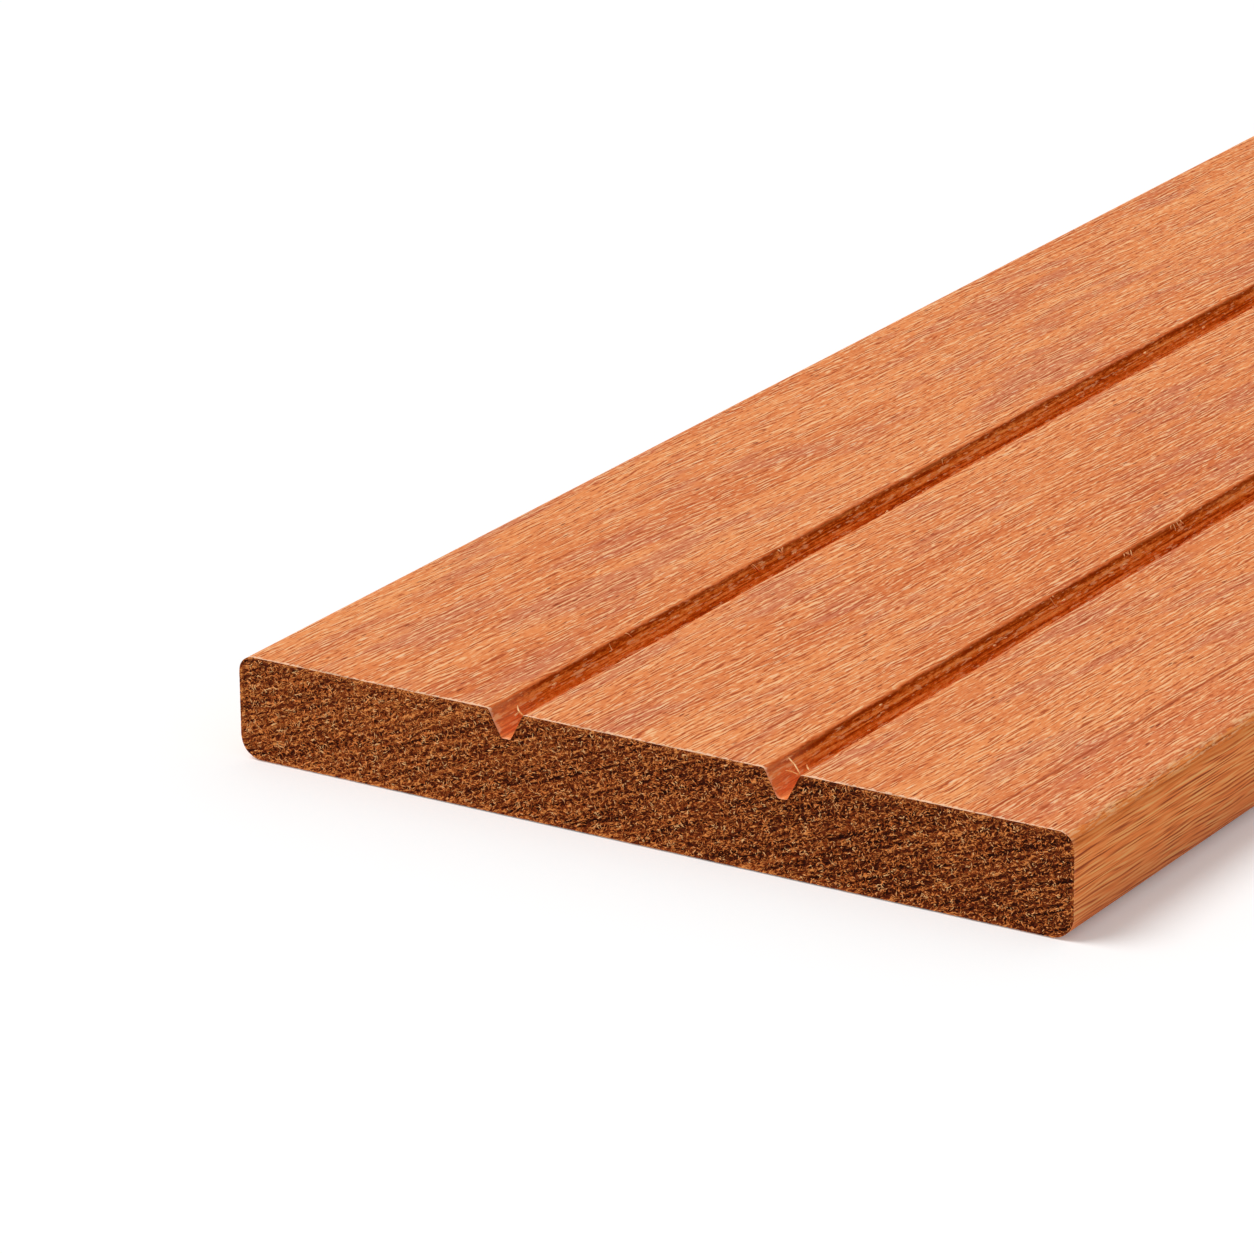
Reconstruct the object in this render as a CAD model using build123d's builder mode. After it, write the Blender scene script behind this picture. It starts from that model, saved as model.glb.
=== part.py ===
from build123d import *
import os

# Hardwood fence board, planed from one length of timber, in millimetres.
# It lies flat on its back: X runs across the width, Y along the grain, Z up to the grooved face.
# The origin is on the back face, at the middle of the width and of the length.

# Planed stock
board_length = 1800.0  # between the two square saw cuts
board_width = 140.0  # over the rounded long edges
board_thickness = 16.0  # from the back to the grooved face
face_round = 2.5  # arris between the grooved face and a long edge
back_round = 3.5  # arris between the back and a long edge

# Lengthwise grooves, which make the face read as three narrow slats
groove_pitch = 46.4  # from the middle of one groove to the middle of the other
groove_mouth = 6.0  # across the lips, before they are eased
groove_floor = 1.6  # flat left by the blunt tip of the cutter
groove_depth = 4.2  # from the face to the groove floor
lip_ease = 0.4  # wear on the lips, where the face meets a groove wall
floor_ease = 0.3  # rounding where a groove wall meets its floor

with BuildPart() as fence_board:
    # The planed blank: a flat section with eased arrises, run over the whole length
    with BuildSketch(Plane.XZ) as section:
        Rectangle(board_width, board_thickness, align=(Align.CENTER, Align.MIN))
        fillet(section.vertices().group_by(Axis.Y)[-1], radius=face_round)
        fillet(section.vertices().group_by(Axis.Y)[0], radius=back_round)
    extrude(amount=board_length / 2, both=True)

    # The grooves: one cutter profile, a blunt V, run along the face twice
    with BuildSketch(Plane.XZ.offset(board_length / 2)) as cutter:
        with Locations((-groove_pitch / 2, board_thickness), (groove_pitch / 2, board_thickness)):
            Polygon(
                (-groove_mouth / 2, 0),
                (-groove_floor / 2, -groove_depth),
                (groove_floor / 2, -groove_depth),
                (groove_mouth / 2, 0),
                align=None,
            )
        fillet(cutter.vertices().group_by(Axis.Y)[0], radius=floor_ease)
    extrude(amount=-board_length, mode=Mode.SUBTRACT)

    # The lips: every lengthwise edge of the face except the two outer arrises
    face_edges = fence_board.edges().filter_by(Axis.Y).group_by(Axis.Z)[-1].sort_by(Axis.X)
    fillet(face_edges[1:-1], radius=lip_ease)

fence_board.part.label = "fence_board"

os.makedirs("parts", exist_ok=True)
export_step(fence_board.part, "parts/fence_board.step")
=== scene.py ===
import math
from types import SimpleNamespace

import bpy
import numpy as np
from mathutils import Matrix, Vector


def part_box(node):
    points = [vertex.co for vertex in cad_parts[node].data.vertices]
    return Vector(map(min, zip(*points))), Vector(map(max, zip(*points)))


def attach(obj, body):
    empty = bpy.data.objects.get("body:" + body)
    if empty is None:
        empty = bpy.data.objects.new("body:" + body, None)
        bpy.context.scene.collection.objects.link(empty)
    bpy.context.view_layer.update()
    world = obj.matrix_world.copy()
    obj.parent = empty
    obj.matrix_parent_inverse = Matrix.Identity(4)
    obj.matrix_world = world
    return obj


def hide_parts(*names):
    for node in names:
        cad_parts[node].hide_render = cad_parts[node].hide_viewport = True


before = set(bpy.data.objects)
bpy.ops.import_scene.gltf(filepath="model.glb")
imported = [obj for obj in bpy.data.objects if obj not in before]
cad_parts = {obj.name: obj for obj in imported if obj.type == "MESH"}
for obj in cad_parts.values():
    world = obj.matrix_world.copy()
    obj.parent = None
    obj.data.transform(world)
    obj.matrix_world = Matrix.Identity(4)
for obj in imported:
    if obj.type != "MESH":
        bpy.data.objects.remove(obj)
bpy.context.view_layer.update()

# Sizes are in millimetres, in the frame of the part: X across, Y along the grain, Z up to the grooved face.
MM = 0.001
low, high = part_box("fence_board")
WIDTH, LENGTH, THICK = ((b - a) / MM for a, b in zip(low, high))
NEAR_END = low[1] / MM
FAR_END = high[1] / MM

# Section, as in the part's source
FACE_ROUND = 2.5
BACK_ROUND = 3.5
GROOVE_PITCH = 46.4
GROOVE_MOUTH = 6.0
GROOVE_FLOOR = 1.6
GROOVE_DEPTH = 4.2
LIP_EASE = 0.4
FLOOR_EASE = 0.3
GROOVE_CENTRES = (-GROOVE_PITCH / 2, GROOVE_PITCH / 2)

# How the timber grew and was sawn
GRAIN_SLOPE = math.tan(math.radians(3.2))  # the fibres drift across the face as they run away
RING_TILT = math.radians(22)  # growth bands rise to the right on the near end
STREAK_START, STREAK_SLOPE = 55.5, 0.034  # one long resin line: across at the near end, and its drift

# Mesh density
END_CELL = 0.32  # across and up the sawn ends
ROUND_COLUMNS = 14  # over the width of a back arris, on the sawn ends
ARC_STEPS, EASE_STEPS = 6, 3  # round the arrises, and round the small edges of the grooves
FINER_ARCS = 4  # times as many steps in the outline that the sawn ends follow
FLAT_MARGIN = 0.5  # from either end of a flat to an extra point that keeps it flat
FIRST_STATION = 1.5  # from either end to the nearest repeat of the section
FINE_STATION, FINE_REACH = 1.2, 330.0  # along the board, and how far that goes from the near end
COARSE_STATION = 9.0  # along the rest of the board
FIBRE_SIDES, FILAMENT_SIDES = 4, 3
SEED = 20

# Wear on the groove lips and round the sawn ends
LEFT_CHIP, RIGHT_CHIP = 0.03, 0.012  # usual depth, on the two lips of each groove
DEEPEST_CHIP = 0.45
CHIP_WIDTH, CHIP_REACH = 0.35, 0.8  # across a lip, and below the face
RIM_TEAR, DEEPEST_TEAR = 0.03, 0.12  # of the outline of an end: usual depth, and the limit
END_RELIEF = 0.4  # depth of the pockets between the fibres of an end
RELIEF_MARGIN = 0.9  # from the outline of an end to pockets of full depth

# Loose fibres
LIP_TUFTS, LIP_ROOT = 280, 0.25  # how many hang from the lips, and how far below the face
WALL_FIBRES, WALL_ROWS = 1300, (1.7, 3.4)  # how many lie along the groove walls, and how far below the face
FLECK_ROWS = (1.6, 3.1)  # below the face, for the pale flecks in the colour of the groove walls
CLEAR_OF_ENDS = 8.0  # from an end to the scattered fibres of the grooves
ARRIS_FIBRES, ARRIS_DEPTH = 160, 0.12  # how many bend over the sawn arrises, and how far inside the saw cut
ARRIS_TOP, ARRIS_BOTTOM = 0.3, 0.5  # where those start, below the face and above the back
CLEAR_OF_EDGES = 4.0  # from a long edge to the fibres of the sawn arrises
TUFT_SAG, WALL_SAG, ARRIS_SAG = 0.12, 0.08, 0.03
TUFT_RADII, WALL_RADII, ARRIS_RADIUS = (0.07, 0.14), (0.09, 0.22), 0.07

# Filaments of the sawn ends
END_FILAMENTS = 6600  # on each end
ROW_SHARE, RAY_SHARE = 0.58, 0.12  # in rows along the growth bands, and in rays across them
ROW_PITCH, RAY_PITCH = 1.05, 3.1
ROW_WAVER, ROW_BEND = 0.3, 0.4  # how far the rows waver, and how fast
ROW_SCATTER, RAY_SCATTER = 0.09, 0.1  # to either side
ROW_FAN, RAY_FAN = 0.5, 0.2  # radians either way
CURL, KINK = 2.0, 0.3  # how much a filament turns, in radians for each millimetre and at each point
FILAMENT_POINTS = 4
FILAMENT_DEPTH, DEPTH_SCATTER = 0.14, 0.04  # inside the saw cut
FILAMENT_MARGIN = 0.13  # inside the outline of an end
FILAMENT_RADII = (0.05, 0.10)
SHORTEST_STEP = 0.08  # between the points of a filament
LONGEST_STEP, STEP_FALL = 0.42, 0.16  # in the middle of the width, and the fall from there to the right

# Light and surface
SHEEN = 0.06  # specular level of bare wood
FLOOR_TONE, FLOOR_GLOW = 0.9, 0.16
WORLD_LIGHT = 0.45
KEY_FROM, KEY_STRENGTH, KEY_SPREAD = (-0.5, -0.35, 1.0), 1.88, 34  # the spread is in degrees

# Camera, fitted to the edges of the board in a square picture
PICTURE = 1254.0  # pixels a side
FOCAL = 7057.0  # pixels
AZIMUTH, ELEVATION, ROLL = 32.374, 20.0, 0.6  # degrees
AIM = (2.28, 31.27, 1008.46)  # the near end's bottom centre, right of, below and ahead of the camera


def srgb(red, green, blue):
    """A linear colour from the 0 to 255 values that it shows on a screen."""
    shown = (red / 255, green / 255, blue / 255)
    return (*(v / 12.92 if v <= 0.04045 else ((v + 0.055) / 1.055) ** 2.4 for v in shown), 1.0)


# Section and mesh


def section_corners():
    """The corners of the section, anticlockwise seen along +Y, each with its radius."""
    corners = [
        (-WIDTH / 2, 0.0, BACK_ROUND),
        (WIDTH / 2, 0.0, BACK_ROUND),
        (WIDTH / 2, THICK, FACE_ROUND),
    ]
    for centre in reversed(GROOVE_CENTRES):
        corners += [
            (centre + GROOVE_MOUTH / 2, THICK, LIP_EASE),
            (centre + GROOVE_FLOOR / 2, THICK - GROOVE_DEPTH, FLOOR_EASE),
            (centre - GROOVE_FLOOR / 2, THICK - GROOVE_DEPTH, FLOOR_EASE),
            (centre - GROOVE_MOUTH / 2, THICK, LIP_EASE),
        ]
    corners.append((-WIDTH / 2, THICK, FACE_ROUND))
    return corners


def rounded(corners, finer=1):
    """Points round a closed outline, with an arc at each corner."""
    points = []
    for i, (x, z, radius) in enumerate(corners):
        here = np.array((x, z))
        back = np.array(corners[i - 1][:2]) - here
        ahead = np.array(corners[(i + 1) % len(corners)][:2]) - here
        back /= np.linalg.norm(back)
        ahead /= np.linalg.norm(ahead)
        half = math.acos(back @ ahead) / 2
        centre = here + (back + ahead) / np.linalg.norm(back + ahead) * radius / math.sin(half)
        first = here + back * radius / math.tan(half) - centre
        turn = math.pi - 2 * half
        if back[0] * ahead[1] - back[1] * ahead[0] > 0:
            turn = -turn
        steps = ARC_STEPS if radius > 1 else EASE_STEPS
        for angle in np.linspace(0, turn, steps * finer + 1):
            c, s = math.cos(angle), math.sin(angle)
            points.append(centre + (c * first[0] - s * first[1], s * first[0] + c * first[1]))
    return np.array(points)


def with_margins(points, margin):
    """A closed outline with a point near both ends of each long span, which keeps its flats flat."""
    result = []
    for here, there in zip(points, np.roll(points, -1, axis=0)):
        span = np.linalg.norm(there - here)
        result.append(here)
        if span > 4 * margin:
            result.append(here + (there - here) * margin / span)
            result.append(there + (here - there) * margin / span)
    return np.array(result)


def end_columns():
    """Places across a sawn end: even, but closer by the long edges, and on every corner of the grooves."""
    inner = WIDTH / 2 - BACK_ROUND
    even = np.linspace(-inner, inner, round(2 * inner / END_CELL) + 1)
    corner = inner + BACK_ROUND * np.sin(np.linspace(0, math.pi / 2, ROUND_COLUMNS + 1))[1:]
    widths = (GROOVE_MOUTH, GROOVE_FLOOR)
    marks = [centre + side * width / 2 for centre in GROOVE_CENTRES for side in (-1, 1) for width in widths]
    even = even[[min(abs(e - m) for m in marks) > END_CELL / 3 for e in even]]
    return np.sort(np.concatenate([even, corner, -corner, marks]))


def end_grid(columns, rows, outline):
    """A grid over a sawn end, as x and z tables, from the lower edge of the outline to the upper."""
    tiny = 1e-6
    lower = outline[outline[:, 1] <= BACK_ROUND + tiny]
    upper = outline[outline[:, 1] >= THICK - max(GROOVE_DEPTH, FACE_ROUND) - tiny]
    lower = lower[np.argsort(lower[:, 0], kind="stable")]
    upper = upper[np.argsort(upper[:, 0], kind="stable")]
    bottom = np.interp(columns, lower[:, 0], lower[:, 1])
    top = np.interp(columns, upper[:, 0], upper[:, 1])
    for table, flat in ((bottom, BACK_ROUND), (top, THICK - FACE_ROUND)):
        table[[0, -1]] = flat
    share = np.linspace(0, 1, rows)[:, None]
    return np.broadcast_to(columns, (rows, len(columns))), bottom + (top - bottom) * share


def rim(rows, columns):
    """Indices round the edge of a grid, anticlockwise from its lower left corner."""
    index = np.arange(rows * columns).reshape(rows, columns)
    return np.concatenate([index[0, :-1], index[:-1, -1], index[-1, :0:-1], index[:0:-1, 0]])


def zipped(fine, coarse, fine_at, coarse_at):
    """Triangles between two rings of points that run the same way round."""
    start = int(np.argmin(np.linalg.norm(coarse_at - fine_at[0], axis=1)))
    coarse = np.roll(coarse, -start)
    coarse_at = np.roll(coarse_at, -start, axis=0)
    faces = []
    i = j = 0
    while i < len(fine) or j < len(coarse):
        next_fine = fine_at[(i + 1) % len(fine)]
        next_coarse = coarse_at[(j + 1) % len(coarse)]
        here_fine = fine_at[i % len(fine)]
        here_coarse = coarse_at[j % len(coarse)]
        step_fine = j >= len(coarse)
        if i < len(fine) and j < len(coarse):
            step_fine = np.linalg.norm(next_fine - here_coarse) < np.linalg.norm(next_coarse - here_fine)
        a, b = fine[i % len(fine)], coarse[j % len(coarse)]
        if step_fine:
            faces.append((a, b, fine[(i + 1) % len(fine)]))
            i += 1
        else:
            faces.append((a, b, coarse[(j + 1) % len(coarse)]))
            j += 1
    return faces


def stations():
    """Places along the length where the section is repeated, closer over the stretch by the near end."""
    fine = np.arange(FIRST_STATION, FINE_REACH, FINE_STATION)
    coarse_count = round((LENGTH - FINE_REACH) / COARSE_STATION)
    coarse = np.linspace(FINE_REACH, LENGTH - FIRST_STATION, coarse_count)
    return NEAR_END + np.concatenate([fine, coarse])


def chipped(outline, along, rng):
    """Heights of the outline's points at each place along the board, with the groove lips chipped."""
    z = np.tile(outline[:, 1], (len(along), 1))
    for centre in GROOVE_CENTRES:
        for side, usual in ((-1, LEFT_CHIP), (1, RIGHT_CHIP)):
            lip = centre + side * GROOVE_MOUTH / 2
            chips = np.abs(rng.standard_normal(len(along))) ** 2
            by_lip = np.exp(-(((outline[:, 0] - lip) / CHIP_WIDTH) ** 2))
            by_lip[outline[:, 1] <= THICK - CHIP_REACH] = 0.0
            z -= np.minimum(chips * usual, DEEPEST_CHIP)[:, None] * by_lip
    return z


def board_mesh(rng):
    """One closed mesh: two sawn ends with a torn outline, and the planed section run between them."""
    outline = with_margins(rounded(section_corners()), FLAT_MARGIN)
    fine_outline = rounded(section_corners(), FINER_ARCS)
    columns = end_columns()
    rows = round(THICK / END_CELL)
    grid_x, grid_z = end_grid(columns, rows, fine_outline)
    count = grid_x.size
    edge = rim(rows, len(columns))
    index = np.arange(count).reshape(rows, len(columns))
    quads = np.stack([index[:-1, :-1], index[:-1, 1:], index[1:, 1:], index[1:, :-1]], -1).reshape(-1, 4)

    places, end_faces, inwards = [], [], []
    for end, inward in ((NEAR_END, 1.0), (FAR_END, -1.0)):
        depth = np.zeros(count)
        depth[edge] = np.clip(RIM_TEAR * (1 + rng.standard_normal(len(edge))), 0, DEEPEST_TEAR)
        first = sum(len(p) for p in places)
        places.append(np.stack([grid_x.ravel(), end + inward * depth, grid_z.ravel()], 1))
        torn = np.full(count, inward)
        torn[edge] = 0.0
        inwards.append(torn)
        end_faces += (first + (quads if inward > 0 else quads[:, ::-1])).tolist()

    along = stations()
    z = chipped(outline, along, rng)
    x = np.broadcast_to(outline[:, 0], z.shape)
    y = np.broadcast_to(along[:, None], z.shape)
    places.append(np.stack([x, y, z], -1).reshape(-1, 3))
    inwards.append(np.zeros(z.size))
    index = 2 * count + np.arange(z.size).reshape(z.shape)
    here, there = index[:-1], index[1:]
    sides = np.stack([here, np.roll(here, -1, 1), np.roll(there, -1, 1), there], -1)
    faces = sides[..., ::-1].reshape(-1, 4).tolist()

    at = np.concatenate(places)
    for start, loop, flip in ((0, index[0], False), (count, index[-1], True)):
        strip = zipped(start + edge, loop, at[start + edge][:, [0, 2]], at[loop][:, [0, 2]])
        faces += [f[::-1] for f in strip] if flip else strip

    mesh = bpy.data.meshes.new("board")
    mesh.from_pydata((at * MM).tolist(), [], faces + end_faces)
    mesh.polygons.foreach_set("material_index", [0] * len(faces) + [1] * len(end_faces))
    mesh.polygons.foreach_set("use_smooth", [True] * len(mesh.polygons))
    layer = mesh.attributes.new("inward", "FLOAT", "POINT")
    layer.data.foreach_set("value", np.concatenate(inwards))
    on_rim = np.zeros(len(at), bool)
    on_rim[np.concatenate([edge, count + edge])] = True
    ends = np.empty(2 * len(mesh.edges), int)
    mesh.edges.foreach_get("vertices", ends)
    sharp = mesh.attributes.new("sharp_edge", "BOOLEAN", "EDGE")
    sharp.data.foreach_set("value", on_rim[ends.reshape(-1, 2)].all(1))
    mesh.update()
    return mesh


# Torn fibres


def sliver(path, radius, sides):
    """A closed fibre along a path, with a point at both ends, as points and faces."""
    off_axis = (0.31, 0.89, 0.33)  # any direction that no fibre follows exactly
    path = np.asarray(path, float)
    points = [path[0]]
    faces = []
    for i in range(1, len(path) - 1):
        ahead = path[i + 1] - path[i - 1]
        ahead /= np.linalg.norm(ahead)
        beside = np.cross(ahead, off_axis)
        beside /= np.linalg.norm(beside)
        above = np.cross(beside, ahead)
        for k in range(sides):
            angle = 2 * math.pi * k / sides
            points.append(path[i] + (beside * math.cos(angle) + above * math.sin(angle)) * radius)
        first = 1 + sides * (i - 1)
        for k in range(sides):
            here, there = first + k, first + (k + 1) % sides
            faces.append((0, there, here) if i == 1 else (here - sides, there - sides, there, here))
    points.append(path[-1])
    tip = len(points) - 1
    for k in range(sides):
        faces.append((tip - sides + k, tip - sides + (k + 1) % sides, tip))
    return points, faces


def bent(start, stop, sag, rng):
    """A path of five points from start to stop, which sags to some side."""
    start, stop = np.asarray(start, float), np.asarray(stop, float)
    side = rng.standard_normal(3)
    side /= np.linalg.norm(side)
    shares = (0.0, 0.15, 0.5, 0.8, 1.0)
    return [start + (stop - start) * t + side * sag * math.sin(math.pi * t) for t in shares]


def on_groove_wall(centre, side, depth):
    """Across and up, for a point on a groove wall so far below the face."""
    half = GROOVE_MOUTH / 2 + (GROOVE_FLOOR - GROOVE_MOUTH) / 2 * depth / GROOVE_DEPTH
    return centre + side * half, THICK - depth


def mouth_fibres(rng):
    """Single fibres that the saw and the cutter left by the near end, most of them at the groove mouths."""
    left, right = GROOVE_CENTRES
    lip = GROOVE_MOUTH / 2
    # Start and stop, each as X, Y from the near end and depth below the face; then the sag and the radius
    fibres = [
        ((left + lip + 0.1, 0.2, 0.15), (left - 0.3, 3.7, 0.15), 0.3, 0.13),
        ((left + lip + 0.1, 0.1, 0.15), (left + 1.2, 1.5, 0.15), 0.2, 0.10),
        ((left - 1.7, 4.9, 2.7), (left - 1.6, 6.2, 2.5), 0.1, 0.26),
        ((left - lip, 37.0, 0.15), (left - lip + 0.6, 38.2, 1.2), 0.2, 0.10),
        ((left - lip, 38.4, 0.15), (left - lip + 0.8, 38.0, 1.4), 0.2, 0.10),
        ((right + lip - 0.1, 0.3, 0.15), (right - lip + 0.1, 5.9, 0.15), 0.3, 0.12),
        ((right + lip - 0.2, 0.2, 0.15), (right - 0.1, 0.9, 0.15), 0.2, 0.10),
        ((right + lip, 2.6, 0.15), (right + 1.3, 4.6, 0.15), 0.2, 0.12),
        ((30.0, 0.12, 0.4), (30.8, 0.12, 1.5), 0.05, 0.09),
        ((33.5, 0.12, 0.2), (33.6, 0.12, 1.1), 0.05, 0.09),
    ]
    for *ends, sag, radius in fibres:
        start, stop = ((x, NEAR_END + y, THICK - depth) for x, y, depth in ends)
        yield bent(start, stop, sag, rng), radius


def random_wall(rng):
    """The centre of one groove, and one of its two sides."""
    return rng.choice(GROOVE_CENTRES), rng.choice((-1, 1))


def random_station(rng):
    """A place along a groove, clear of the ends."""
    return rng.uniform(NEAR_END + CLEAR_OF_ENDS, FAR_END - CLEAR_OF_ENDS)


def lip_tufts(rng):
    """Small clumps of fibres that hang from the groove lips."""
    for _ in range(LIP_TUFTS):
        centre, side = random_wall(rng)
        y = random_station(rng)
        fibres = rng.integers(1, 5)
        for _ in range(fibres):
            y += rng.uniform(0.3, 1.2)
            x, z = on_groove_wall(centre, side, LIP_ROOT)
            tip_depth = rng.uniform(0.5, 1.7)
            tip_x, tip_z = on_groove_wall(centre, side, tip_depth)
            off_wall = rng.uniform(0.0, 0.25)
            slant = rng.uniform(-0.9, 0.9)
            path = bent((x, y, z), (tip_x - side * off_wall, y + slant, tip_z), TUFT_SAG, rng)
            yield path, rng.uniform(*TUFT_RADII)


def wall_fibres(rng):
    """Short fibres raised along the groove walls, in two rows."""
    scatter = 0.3  # about a row
    for _ in range(WALL_FIBRES):
        centre, side = random_wall(rng)
        depth = rng.choice(WALL_ROWS) + scatter * rng.standard_normal()
        y = random_station(rng)
        half_length = rng.uniform(0.25, 1.1)
        x, z = on_groove_wall(centre, side, depth)
        lift = rng.uniform(-0.25, 0.25)
        path = bent((x, y - half_length, z), (x, y + half_length, z + lift), WALL_SAG, rng)
        yield path, rng.uniform(*WALL_RADII)


def arris_fibres(rng):
    """Fibres bent over the upper and lower edges of both sawn ends, clear of the grooves."""
    widest = WIDTH / 2 - CLEAR_OF_EDGES
    for _ in range(ARRIS_FIBRES):
        end, inward = ((NEAR_END, 1), (FAR_END, -1))[rng.integers(2)]
        x = rng.uniform(-widest, widest)
        z = rng.choice((THICK - ARRIS_TOP, ARRIS_BOTTOM))
        y = end + inward * ARRIS_DEPTH
        if min(abs(x - c) for c in GROOVE_CENTRES) < GROOVE_MOUTH:
            continue
        reach = rng.uniform(0.3, 0.9)
        slant = rng.uniform(-0.8, 0.8)
        tip = (x + slant, y, z - reach if z > THICK / 2 else z + reach)
        yield bent((x, y, z), tip, ARRIS_SAG, rng), ARRIS_RADIUS


def fibre_paths(rng):
    """Paths and radii of all the single fibres."""
    yield from mouth_fibres(rng)
    yield from lip_tufts(rng)
    yield from wall_fibres(rng)
    yield from arris_fibres(rng)


def on_section(x, z, margin):
    """Whether a point of a sawn end is so far inside its edges."""
    if abs(x) > WIDTH / 2 - margin or not margin < z < THICK - margin:
        return False
    for radius, beyond_flat in ((FACE_ROUND, z - THICK + FACE_ROUND), (BACK_ROUND, BACK_ROUND - z)):
        beyond_edge = abs(x) - WIDTH / 2 + radius
        if min(beyond_edge, beyond_flat) > 0 and math.hypot(beyond_edge, beyond_flat) > radius - margin:
            return False
    for centre in GROOVE_CENTRES:
        wall = on_groove_wall(centre, 1, max(THICK - z, 0.0))[0]
        if z > THICK - GROOVE_DEPTH - margin and abs(x - centre) < wall - centre + margin:
            return False
    return True


def filament_paths(rng):
    """Paths and radii of curled filaments over both sawn ends, in rows, in rays or scattered."""
    cos, sin = math.cos(RING_TILT), math.sin(RING_TILT)
    for end, inward in ((NEAR_END, 1), (FAR_END, -1)):
        for _ in range(END_FILAMENTS):
            x, z = rng.uniform(-WIDTH / 2, WIDTH / 2), rng.uniform(0, THICK)
            heading = rng.uniform(0, 2 * math.pi)
            kind = rng.random()
            if kind < ROW_SHARE:
                off_row = (z * cos - x * sin + ROW_WAVER * math.sin(ROW_BEND * x)) % ROW_PITCH
                z -= (off_row + ROW_SCATTER * rng.standard_normal()) / cos
                heading = RING_TILT + ROW_FAN * rng.standard_normal()
            elif kind < ROW_SHARE + RAY_SHARE:
                off_ray = (x * cos + z * sin) % RAY_PITCH
                x -= (off_ray + RAY_SCATTER * rng.standard_normal()) / cos
                heading = RING_TILT + math.pi / 2 + RAY_FAN * rng.standard_normal()
            curl = CURL * rng.standard_normal()
            step = rng.uniform(SHORTEST_STEP, LONGEST_STEP - STEP_FALL * x / (WIDTH / 2))
            path = []
            for _ in range(FILAMENT_POINTS):
                if not on_section(x, z, FILAMENT_MARGIN):
                    break
                depth = FILAMENT_DEPTH + DEPTH_SCATTER * rng.standard_normal()
                path.append((x, end + inward * depth, z))
                x += step * math.cos(heading)
                z += step * math.sin(heading)
                heading += curl * step + KINK * rng.standard_normal()
            if len(path) == FILAMENT_POINTS:
                yield path, rng.uniform(*FILAMENT_RADII)


def slivers(name, paths, sides):
    """One mesh of many fibres, kept inside the board's own box."""
    points, faces = [], []
    for path, radius in paths:
        more, shell = sliver(path, radius, sides)
        faces += [tuple(len(points) + i for i in f) for f in shell]
        points += more
    at = np.clip(points, (-WIDTH / 2, NEAR_END, 0.0), (WIDTH / 2, FAR_END, THICK))
    mesh = bpy.data.meshes.new(name)
    mesh.from_pydata((at * MM).tolist(), [], faces)
    mesh.polygons.foreach_set("use_smooth", [True] * len(mesh.polygons))
    mesh.update()
    return mesh


# Node patterns


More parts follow.
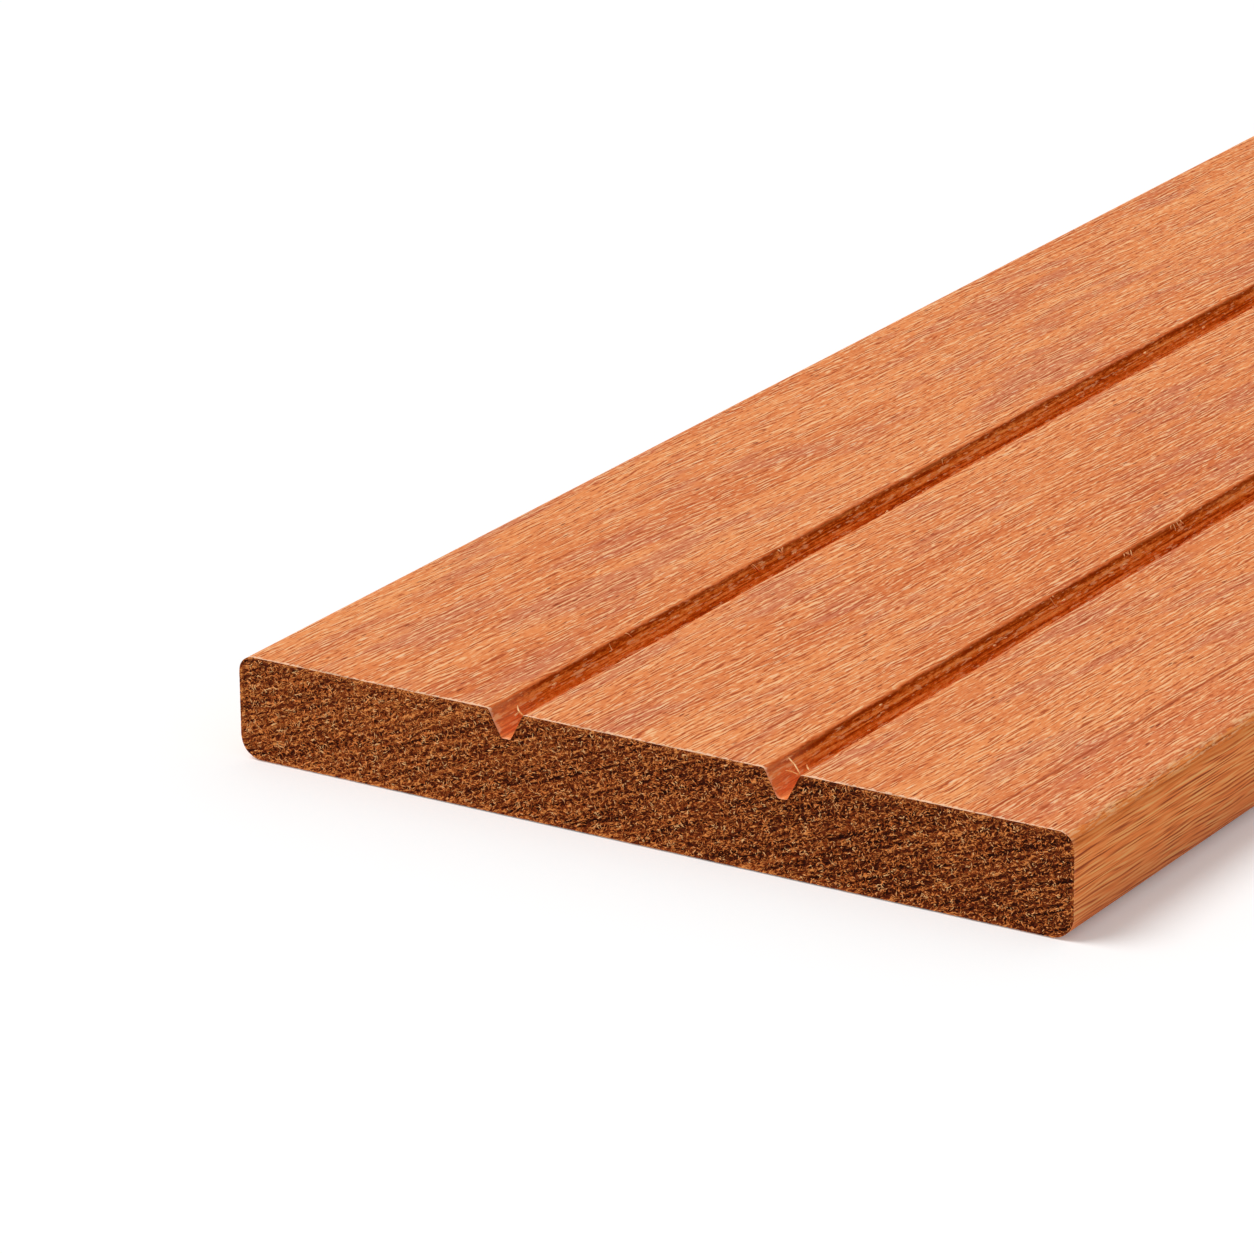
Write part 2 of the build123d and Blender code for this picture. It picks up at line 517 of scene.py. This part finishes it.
class Nodes:
    """A node tree, with short calls for the kinds of node that the woods use. Places are in millimetres."""

    def __init__(self, tree):
        self.tree = tree

    def put(self, socket, value):
        """Links a socket to another one, or sets its value."""
        if isinstance(value, bpy.types.NodeSocket):
            self.tree.links.new(value, socket)
        else:
            socket.default_value = value

    def node(self, kind, inputs, **settings):
        made = self.tree.nodes.new(kind)
        for name, value in settings.items():
            setattr(made, name, value)
        for name, value in inputs.items():
            self.put(made.inputs[name], value)
        return made

    def math(self, operation, a, b=0.0):
        return self.node("ShaderNodeMath", {0: a, 1: b}, operation=operation).outputs[0]

    def sum(self, *terms):
        total = terms[0]
        for term in terms[1:]:
            total = self.math("ADD", total, term)
        return total

    def less(self, a, b):
        return self.math("SUBTRACT", a, b)

    def away(self, value, middle):
        """How far a value is from a middle one, either way."""
        return self.math("ABSOLUTE", self.less(value, middle))

    def times(self, *factors):
        product = factors[0]
        for factor in factors[1:]:
            product = self.math("MULTIPLY", product, factor)
        return product

    def ease(self, value, start, stop):
        """0 at start and 1 at stop, with a smooth step between."""
        inputs = {"Value": value, "From Min": start, "From Max": stop}
        return self.node("ShaderNodeMapRange", inputs, interpolation_type="SMOOTHSTEP").outputs[0]

    def ridge(self, value, width):
        """1 along the lines where a noise passes its middle, falling to 0 beside them."""
        return self.ease(self.away(value, 0.5), width, width / 3)

    def blend(self, share, a, b):
        """Colour a, with a share of colour b."""
        return self.node("ShaderNodeMix", {0: share, 6: a, 7: b}, data_type="RGBA").outputs[2]

    def ramp(self, value, *stops):
        """A colour from a value, by stops that each hold a value and its colour."""
        made = self.node("ShaderNodeValToRGB", {"Fac": value})
        elements = made.color_ramp.elements
        while len(elements) < len(stops):
            elements.new(1.0)
        for element, (place, colour) in zip(elements, stops):
            element.position = place
            element.color = colour
        return made.outputs["Color"]

    def vector(self, x, y, z):
        return self.node("ShaderNodeCombineXYZ", {0: x, 1: y, 2: z}).outputs[0]

    def parts(self, vector):
        return self.node("ShaderNodeSeparateXYZ", {0: vector}).outputs[:3]

    def scaled(self, place, size, shift):
        """A place in units of size, shifted so that two patterns of one size differ."""
        shrunk = self.node("ShaderNodeVectorMath", {0: place, 1: size}, operation="DIVIDE").outputs[0]
        return self.node("ShaderNodeVectorMath", {0: shrunk, 1: (shift,) * 3}, operation="ADD").outputs[0]

    def noise(self, place, size, detail=2.0, roughness=0.5, shift=0.0):
        """Cloudy noise from 0 to 1, whose features measure about size along each axis."""
        inputs = {"Vector": self.scaled(place, size, shift), "Detail": detail, "Roughness": roughness}
        return self.node("ShaderNodeTexNoise", {"Scale": 1.0, **inputs}).outputs[0]

    def spots(self, place, size, shift=0.0):
        """Distance from the nearest of many scattered points, as a share of size."""
        inputs = {"Vector": self.scaled(place, size, shift), "Scale": 1.0}
        return self.node("ShaderNodeTexVoronoi", inputs).outputs["Distance"]

    def lines(self, across, place, spacing, reach, shift):
        """Wavering lines from -1 to 1, so far apart across the grain, that fade in and out along it."""
        bend = (2.5 * spacing, reach, 2.5 * spacing)
        patch = (1.6 * spacing, 0.5 * reach, 1.6 * spacing)
        wander = self.noise(place, bend, detail=1, shift=shift)
        strength = self.noise(place, patch, detail=1, shift=shift + 50)
        turns = self.sum(self.times(across, 1 / spacing), self.times(wander, 2.6))
        wave = self.math("SINE", self.times(turns, 2 * math.pi))
        return self.times(wave, self.ease(strength, 0.30, 0.66))

    def millimetres(self, metres):
        return self.node("ShaderNodeVectorMath", {0: metres, "Scale": 1 / MM}, operation="SCALE").outputs[0]


def sawn_end(n, place):
    """Torn fibre on a sawn end, from 0 to 1, and the tufts and growth bands that it lies on, around 0."""
    x, y, z = n.parts(place)
    cos, sin = math.cos(RING_TILT), math.sin(RING_TILT)
    along = n.sum(n.times(x, cos), n.times(z, sin))
    beside = n.less(n.times(z, cos), n.times(x, sin))
    which_end = n.times(y, 0.02)  # makes the two ends differ
    flat = n.vector(along, beside, which_end)
    curl_along = n.times(n.less(n.noise(flat, (0.6, 0.6, 1), detail=0, shift=3.0), 0.5), 0.7)
    curl_beside = n.times(n.less(n.noise(flat, (0.6, 0.6, 1), detail=0, shift=9.0), 0.5), 0.45)
    curled = n.vector(n.sum(along, curl_along), n.sum(beside, curl_beside), which_end)
    fibre = 0.0
    for i, size in enumerate(((2.0, 0.6, 1), (1.0, 0.7, 1), (0.75, 0.5, 1))):
        curls = n.ridge(n.noise(curled, size, detail=0, shift=17.0 * i), 0.055)
        kept = n.ease(n.noise(flat, (1.2, 0.6, 1), detail=1, shift=5.0 + 23 * i), 0.46, 0.58)
        fibre = n.math("MAXIMUM", n.times(curls, kept), fibre)
    tufts = n.less(n.noise(curled, (0.5, 0.3, 1), detail=2, roughness=0.7, shift=41.0), 0.5)
    growth = n.less(n.noise(flat, (22, 1.8, 1), detail=2, roughness=0.6, shift=13.0), 0.5)
    rows = n.lines(beside, n.vector(beside, along, which_end), ROW_PITCH, reach=14.0, shift=61.0)
    return fibre, tufts, n.sum(growth, n.times(rows, 0.2))


def from_outline(n, place):
    """How far inside the box of the section a place lies."""
    x, _, z = n.parts(place)
    across = n.less(WIDTH / 2, n.math("ABSOLUTE", x))
    return n.math("MINIMUM", across, n.math("MINIMUM", z, n.less(THICK, z)))


def tear_ends(board):
    """Sinks the sawn ends between their torn fibres, and fixes the result as the board's own mesh."""
    tree = bpy.data.node_groups.new("torn_ends", "GeometryNodeTree")
    tree.interface.new_socket("Geometry", in_out="INPUT", socket_type="NodeSocketGeometry")
    tree.interface.new_socket("Geometry", in_out="OUTPUT", socket_type="NodeSocketGeometry")
    n = Nodes(tree)
    place = n.millimetres(n.node("GeometryNodeInputPosition", {}).outputs[0])
    fibre, tufts, growth = sawn_end(n, place)
    raised = n.sum(n.times(fibre, 0.3), tufts, n.times(growth, 0.3))
    inside = n.ease(from_outline(n, place), 0.0, RELIEF_MARGIN)
    depth = n.times(n.ease(raised, 0.5, -0.3), inside, END_RELIEF)
    inward = n.node("GeometryNodeInputNamedAttribute", {"Name": "inward"}, data_type="FLOAT").outputs[0]
    offset = n.vector(0.0, n.times(depth, inward, MM), 0.0)
    source = n.node("NodeGroupInput", {}).outputs[0]
    moved = n.node("GeometryNodeSetPosition", {"Geometry": source, "Offset": offset}).outputs[0]
    n.node("NodeGroupOutput", {0: moved})
    modifier = board.modifiers.new("torn_ends", "NODES")
    modifier.node_group = tree
    shape = bpy.data.meshes.new_from_object(board.evaluated_get(bpy.context.evaluated_depsgraph_get()))
    board.modifiers.remove(modifier)
    shape.name = "board"
    board.data = shape


# Materials


class Shader(Nodes):
    """The nodes of one material."""

    def __init__(self, name):
        self.material = bpy.data.materials.new(name)
        self.material.use_nodes = True
        super().__init__(self.material.node_tree)
        self.surface = self.tree.nodes["Principled BSDF"]

    def place(self):
        return self.millimetres(self.node("ShaderNodeTexCoord", {}).outputs["Object"])

    def finish(self, colour, roughness, height, relief, sheen=SHEEN):
        """Links up the surface; relief is the depth in millimetres of a height of 1."""
        bump = self.node("ShaderNodeBump", {"Height": height, "Strength": 1.0, "Distance": relief * MM})
        self.put(self.surface.inputs["Base Color"], colour)
        self.put(self.surface.inputs["Roughness"], roughness)
        self.put(self.surface.inputs["Normal"], bump.outputs[0])
        self.put(self.surface.inputs["Specular IOR Level"], sheen)
        return self.material


def grain_places(s):
    """Places on the planed board: as they are, along its sloping grain, and across its growth bands."""
    place = s.place()
    x, y, z = s.parts(place)
    sway = s.less(s.noise(place, (45, 170, 45), detail=1), 0.5)
    across = s.sum(s.less(x, s.times(y, GRAIN_SLOPE)), s.times(sway, 9.0))
    deep = s.sum(z, s.times(sway, 3.0))
    grain = s.vector(across, y, deep)
    ring = s.sum(s.times(across, -math.sin(RING_TILT)), s.times(deep, math.cos(RING_TILT)))
    return SimpleNamespace(
        place=place,
        x=x,
        y=y,
        z=z,
        sway=sway,
        across=across,
        deep=deep,
        grain=grain,
        ring=ring,
        layers=s.vector(ring, y, across),
        drift=s.noise(grain, (5, 15, 5), detail=3, roughness=0.6),
        wave=s.times(s.less(s.noise(grain, (2.0, 9, 2.0), detail=1, shift=61.0), 0.5), 0.8),
        ragged=s.less(s.noise(place, (0.7, 2.2, 0.7), detail=3, roughness=0.65, shift=5.0), 0.5),
        from_end=s.less(LENGTH / 2, s.math("ABSOLUTE", y)),
    )


def broad_colour(s, at):
    """Growth bands, wide streaks and slow drifts between redder and more orange wood."""
    bands = s.noise(at.layers, (1.5, 120, 30), detail=3, roughness=0.6)
    streaks = s.noise(at.grain, (10, 220, 10), detail=2, shift=71.0)
    colour = s.ramp(
        s.sum(s.times(bands, 0.4), s.times(streaks, 0.4), s.times(at.drift, 0.2)),
        (0.38, srgb(221, 120, 66)),
        (0.46, srgb(233, 137, 79)),
        (0.54, srgb(240, 147, 87)),
        (0.64, srgb(246, 159, 97)),
    )
    mauve = s.ease(s.noise(at.grain, (6, 32, 6), detail=3, roughness=0.6, shift=51.0), 0.48, 0.66)
    colour = s.blend(s.times(mauve, 0.55), colour, srgb(198, 114, 88))
    redder = s.ease(s.sum(at.x, s.times(at.sway, 20)), 46, 66)  # towards the right edge
    return s.blend(s.times(redder, 0.35), colour, srgb(214, 112, 72))


def face_wood(s, at):
    """Colour of the face and the back, the relief of their wavy lines, and the vessels among these."""
    run = s.sum(at.across, at.wave)
    wavy = s.vector(run, at.y, s.sum(at.deep, at.wave))
    fine = s.noise(wavy, (0.27, 1.5, 0.27), detail=1, shift=37.0)
    relief = s.sum(
        s.times(s.lines(run, at.grain, spacing=0.57, reach=7.5, shift=3.0), 0.9),
        s.times(s.lines(run, at.grain, spacing=0.80, reach=11.0, shift=7.0), 0.8),
        s.times(s.lines(run, at.grain, spacing=1.30, reach=18.0, shift=11.0), 0.55),
        s.times(s.less(fine, 0.5), 3.2),
    )
    pale = s.ease(relief, 0.1, 1.3)
    dark = s.ease(relief, -0.1, -1.3)
    vessel = s.ease(s.spots(wavy, (1.2, 5.5, 1.2)), 0.18, 0.07)
    vessel = s.times(vessel, s.ease(s.noise(at.grain, (6, 20, 6), detail=1, shift=19.0), 0.46, 0.60))
    glint = s.ease(s.spots(wavy, (1.1, 9, 1.1), shift=29.0), 0.17, 0.08)
    colour = s.blend(s.times(pale, 0.85), broad_colour(s, at), srgb(255, 202, 148))
    colour = s.blend(s.times(dark, 0.9), colour, srgb(176, 78, 36))
    colour = s.blend(s.times(vessel, 0.75), colour, srgb(120, 42, 18))
    colour = s.blend(s.times(glint, 0.7), colour, srgb(255, 214, 170))

    # One long resin line
    streak = s.less(s.sum(at.x, s.times(at.wave, 0.3)), s.times(s.less(at.y, NEAR_END), STREAK_SLOPE))
    streak = s.ease(s.away(streak, STREAK_START), 0.4, 0.1)
    return s.blend(s.times(streak, 0.8), colour, srgb(172, 70, 28)), relief, vessel


def edge_wood_and_shade(s, at):
    """Colour of the long edges, with painted shadow towards the back, and the close lines along them."""
    run = s.sum(at.ring, s.times(at.wave, 0.15))
    stripes = s.sum(
        s.times(s.lines(run, at.grain, spacing=0.56, reach=26.0, shift=23.0), 1.2),
        s.times(s.lines(run, at.grain, spacing=0.90, reach=36.0, shift=27.0), 0.7),
        s.times(s.lines(run, at.grain, spacing=2.30, reach=80.0, shift=33.0), 0.4),
        s.times(s.less(s.noise(at.layers, (0.22, 7, 4), detail=1, shift=11.0), 0.5), 3.6),
    )
    colour = s.ramp(
        s.sum(0.5, s.times(stripes, 0.22)),
        (0.15, srgb(164, 74, 32)),
        (0.50, srgb(250, 140, 70)),
        (0.85, srgb(255, 188, 114)),
    )
    # Painted shadow: darker and duller towards the back, as a contact shadow low on the edges.
    painted_low_shade = s.ease(at.z, 9.0, 2.0)
    return s.blend(s.times(painted_low_shade, 0.3), colour, srgb(200, 112, 76)), stripes


def groove_wood_and_shade(s, at):
    """Groove colour: deep orange with cutter lines, partly painted shade of the recess; a painted shadow
    under the lips, painted light by the open ends, and two rows of pale flecks.
    """
    depth = s.sum(s.less(THICK, at.z), s.times(at.ragged, 0.5))
    cuts = s.noise(at.place, (0.3, 22, 0.3), detail=3, roughness=0.6, shift=3.0)
    pitted = s.noise(at.place, (0.4, 1.6, 0.4), detail=3, roughness=0.7, shift=9.0)
    # Darker and more saturated than the face: partly the cut wood, partly painted shade of the recess.
    colour = s.ramp(
        s.sum(s.times(cuts, 0.65), s.times(pitted, 0.35)),
        (0.40, srgb(160, 61, 6)),
        (0.50, srgb(222, 108, 28)),
        (0.60, srgb(255, 164, 84)),
    )
    # Painted shadow: a dark band just under the lips, where each lip shades the wall below it.
    painted_lip_shadow = s.ease(s.sum(depth, s.times(s.less(pitted, 0.5), 2.0)), 1.2, 0.5)
    colour = s.blend(s.times(painted_lip_shadow, 0.7), colour, srgb(146, 49, 4))
    # Painted light: the groove lighter near the open ends, where more light reaches into it.
    painted_end_light = s.ease(s.sum(at.from_end, s.times(at.ragged, 6)), 14, 3)
    colour = s.blend(s.times(painted_end_light, 0.5), colour, srgb(244, 146, 94))
    upper_row, lower_row = (s.ease(s.away(depth, row), 0.6, 0.1) for row in FLECK_ROWS)
    rows = s.math("MAXIMUM", upper_row, lower_row)
    flecks = s.noise(at.place, (0.3, 2.4, 0.3), detail=1, shift=21.0)
    flecks = s.ease(s.sum(flecks, s.times(rows, 0.11)), 0.65, 0.71)
    return s.blend(s.times(flecks, 0.6), colour, srgb(255, 196, 140))


def planed_wood():
    """Planed faces, with browner edges, darker grooves and pale torn arrises at the ends, and painted light
    and shade: in the grooves, on their lips, on the rounded arrises, low on the edges and as a highlight on
    the sawn arrises.
    """
    s = Shader("planed_wood")
    at = grain_places(s)
    colour, relief, vessel = face_wood(s, at)

    # Long edges, with a golden band of painted shade on the rounded arris and pale fuzz where they meet the
    # face
    edge_colour_and_shade, stripes = edge_wood_and_shade(s, at)
    inset = s.less(WIDTH / 2, s.math("ABSOLUTE", at.x))
    on_edge = s.ease(s.sum(inset, s.times(at.ragged, 2.2)), 1.35, 0.90)
    colour = s.blend(on_edge, colour, edge_colour_and_shade)
    arris = THICK - FACE_ROUND
    # Painted shade: a golden band where the rounded arris turns from the face down to the edge.
    painted_arris_shade = s.times(s.ease(s.sum(at.z, at.ragged), arris - 0.4, arris + 0.6), on_edge)
    colour = s.blend(s.times(painted_arris_shade, 0.35), colour, srgb(232, 124, 46))
    fuzz = s.ease(s.noise(at.place, (0.3, 3.5, 0.3), detail=3, roughness=0.7, shift=31.0), 0.50, 0.60)
    near_edge = s.times(s.ease(inset, 2.4, 1.6), s.ease(inset, 0.15, 0.6))
    near_edge = s.times(near_edge, s.ease(at.z, THICK / 2, THICK / 2 + 1))
    colour = s.blend(s.times(fuzz, near_edge, 0.7), colour, srgb(255, 194, 138))

    # Grooves, with painted shade: a darker, warmer band where each lip rolls into the groove
    upper_half = s.ease(at.z, THICK / 2 - 1, THICK / 2)
    off_centre = s.away(s.math("ABSOLUTE", at.x), GROOVE_PITCH / 2)
    inside = s.less(GROOVE_MOUTH / 2, off_centre)
    # Painted shade on the rounded lip, as it turns away from the light.
    painted_lip_shade = s.times(s.ease(inside, -0.35, 0.0), upper_half)
    colour = s.blend(s.times(painted_lip_shade, 0.6), colour, srgb(232, 108, 40))
    in_groove = s.times(s.ease(s.sum(inside, s.times(at.ragged, 0.35)), 0.05, 0.2), upper_half)
    colour = s.blend(in_groove, colour, groove_wood_and_shade(s, at))

    # Sawn arris: a pale line at both ends, partly torn fibre and partly a painted highlight, strongest
    # along the face
    frayed = s.less(s.noise(at.place, (0.8, 40, 0.8), detail=3, roughness=0.8, shift=8.0), 0.5)
    torn_arris_and_highlight = s.ease(s.sum(at.from_end, s.times(frayed, 3.2)), 0.60, 0.25)
    on_face = s.sum(0.4, s.times(s.ease(at.z, THICK - 0.6, THICK - 0.1), 0.6))
    on_face = s.times(on_face, s.less(1.0, s.times(on_edge, 0.85)))
    colour = s.blend(s.times(torn_arris_and_highlight, on_face), colour, srgb(255, 204, 166))

    lined = s.sum(s.times(relief, s.less(1.0, on_edge)), s.times(stripes, on_edge))
    height = s.less(s.times(lined, 0.4), vessel)
    roughness = s.sum(0.55, s.times(at.drift, 0.2))
    sheen = s.times(s.less(1.0, in_groove), SHEEN)
    return s.finish(colour, roughness, height, 0.05, sheen)


def torn_wood():
    """Loose fibres: pale along the board, and browner on the sawn ends."""
    s = Shader("torn_wood")
    place = s.place()
    tone = s.noise(place, (1.2, 1.2, 1.2), detail=2)
    colour = s.ramp(tone, (0.35, srgb(232, 138, 72)), (0.65, srgb(255, 206, 150)))
    from_end = s.less(LENGTH / 2, s.math("ABSOLUTE", s.parts(place)[1]))
    brown = s.ramp(
        tone,
        (0.38, srgb(156, 68, 22)),
        (0.50, srgb(246, 144, 72)),
        (0.62, srgb(255, 198, 134)),
    )
    colour = s.blend(s.ease(from_end, 0.5, 0.3), colour, brown)
    return s.finish(colour, 0.7, s.noise(place, (0.1, 0.6, 0.1)), 0.01)


def end_grain():
    """Sawn ends: dark pores and pockets between pale torn fibre, in slanting growth bands."""
    s = Shader("end_grain")
    place = s.place()
    fibre, tufts, growth = sawn_end(s, place)
    warm = s.ease(s.sum(s.parts(place)[0], s.times(s.noise(place, (25, 25, 25)), 40)), 60, -50)
    pores = s.ease(s.spots(place, (1.3, 1.3, 1.1), shift=7.0), 0.22, 0.10)
    by_outline = s.ease(from_outline(s, place), RELIEF_MARGIN, 0.1)
    ground = s.sum(
        s.times(tufts, 0.9),
        s.times(growth, 0.5),
        s.times(warm, 0.08),
        s.times(by_outline, 0.12),
    )
    level = s.less(s.sum(0.38, ground, s.times(fibre, 0.36)), s.times(pores, 0.22))
    colour = s.ramp(
        level,
        (0.24, srgb(38, 10, 3)),
        (0.38, srgb(78, 26, 8)),
        (0.50, srgb(118, 48, 16)),
        (0.62, srgb(166, 82, 32)),
        (0.80, srgb(234, 148, 78)),
    )
    height = s.sum(fibre, tufts)
    return s.finish(colour, 0.8, height, 0.06)


def plain_floor():
    """A white floor that keeps the board's shadow, and shows white to the camera elsewhere."""
    s = Shader("white_floor")
    light = s.node("ShaderNodeLightPath", {}).outputs
    seen = s.math("MAXIMUM", light["Is Camera Ray"], light["Is Glossy Ray"])
    seen = s.math("MAXIMUM", seen, light["Is Transmission Ray"])
    s.surface.inputs["Base Color"].default_value = (FLOOR_TONE, FLOOR_TONE, FLOOR_TONE, 1.0)
    s.surface.inputs["Roughness"].default_value = 1.0
    s.surface.inputs["Specular IOR Level"].default_value = 0.0
    s.surface.inputs["Emission Color"].default_value = (1.0, 1.0, 1.0, 1.0)
    s.put(s.surface.inputs["Emission Strength"], s.times(seen, FLOOR_GLOW))
    return s.material


# Scene


def add_object(mesh, *materials):
    made = bpy.data.objects.new(mesh.name, mesh)
    for material in materials:
        mesh.materials.append(material)
    bpy.context.scene.collection.objects.link(made)
    return made


def add_floor():
    reach = 30.0  # metres
    drop = -0.0002  # metres, so that it does not meet the back of the board
    mesh = bpy.data.meshes.new("floor")
    mesh.from_pydata(
        [(-reach, -reach, drop), (reach, -reach, drop), (reach, reach, drop), (-reach, reach, drop)],
        [],
        [(0, 1, 2, 3)],
    )
    floor = add_object(mesh, plain_floor())


def add_key_light():
    """A wide far lamp, so that the whole length is lit alike, with soft shadows."""
    lamp = bpy.data.lights.new("key", "SUN")
    lamp.energy = KEY_STRENGTH
    lamp.angle = math.radians(KEY_SPREAD)
    made = bpy.data.objects.new("key", lamp)
    made.rotation_euler = Vector(KEY_FROM).to_track_quat("Z", "Y").to_euler()
    bpy.context.scene.collection.objects.link(made)


def add_world():
    world = bpy.data.worlds.new("studio")
    world.use_nodes = True
    background = world.node_tree.nodes["Background"]
    background.inputs["Color"].default_value = (1.0, 1.0, 1.0, 1.0)
    background.inputs["Strength"].default_value = WORLD_LIGHT
    bpy.context.scene.world = world


def add_camera():
    azimuth, elevation, roll = (math.radians(a) for a in (AZIMUTH, ELEVATION, ROLL))
    ahead = Vector((
        -math.sin(azimuth) * math.cos(elevation),
        math.cos(azimuth) * math.cos(elevation),
        -math.sin(elevation),
    ))
    level = Vector((math.cos(azimuth), math.sin(azimuth), 0.0))
    below = ahead.cross(level)
    right = level * math.cos(roll) + below * math.sin(roll)
    down = below * math.cos(roll) - level * math.sin(roll)
    near_end = Vector((0.0, NEAR_END, 0.0))
    place = near_end - right * AIM[0] - down * AIM[1] - ahead * AIM[2]
    camera = bpy.data.cameras.new("camera")
    camera.sensor_width = 36.0
    camera.lens = camera.sensor_width * FOCAL / PICTURE
    camera.clip_start = 0.01  # metres
    made = bpy.data.objects.new("camera", camera)
    turned = Matrix((right, -down, -ahead)).transposed()
    made.matrix_world = Matrix.Translation(place * MM) @ turned.to_4x4()
    bpy.context.scene.collection.objects.link(made)
    bpy.context.scene.camera = made


rng = np.random.default_rng(SEED)
board = add_object(board_mesh(rng), planed_wood(), end_grain())
tear_ends(board)
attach(board, "root")
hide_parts("fence_board")

torn = torn_wood()
fibre_meshes = (
    slivers("torn_fibres", fibre_paths(rng), FIBRE_SIDES),
    slivers("end_filaments", filament_paths(rng), FILAMENT_SIDES),
)
for mesh in fibre_meshes:
    fibres = add_object(mesh, torn)
    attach(fibres, "root")

add_floor()
add_world()
add_key_light()
add_camera()
bpy.context.scene.view_settings.view_transform = "Standard"
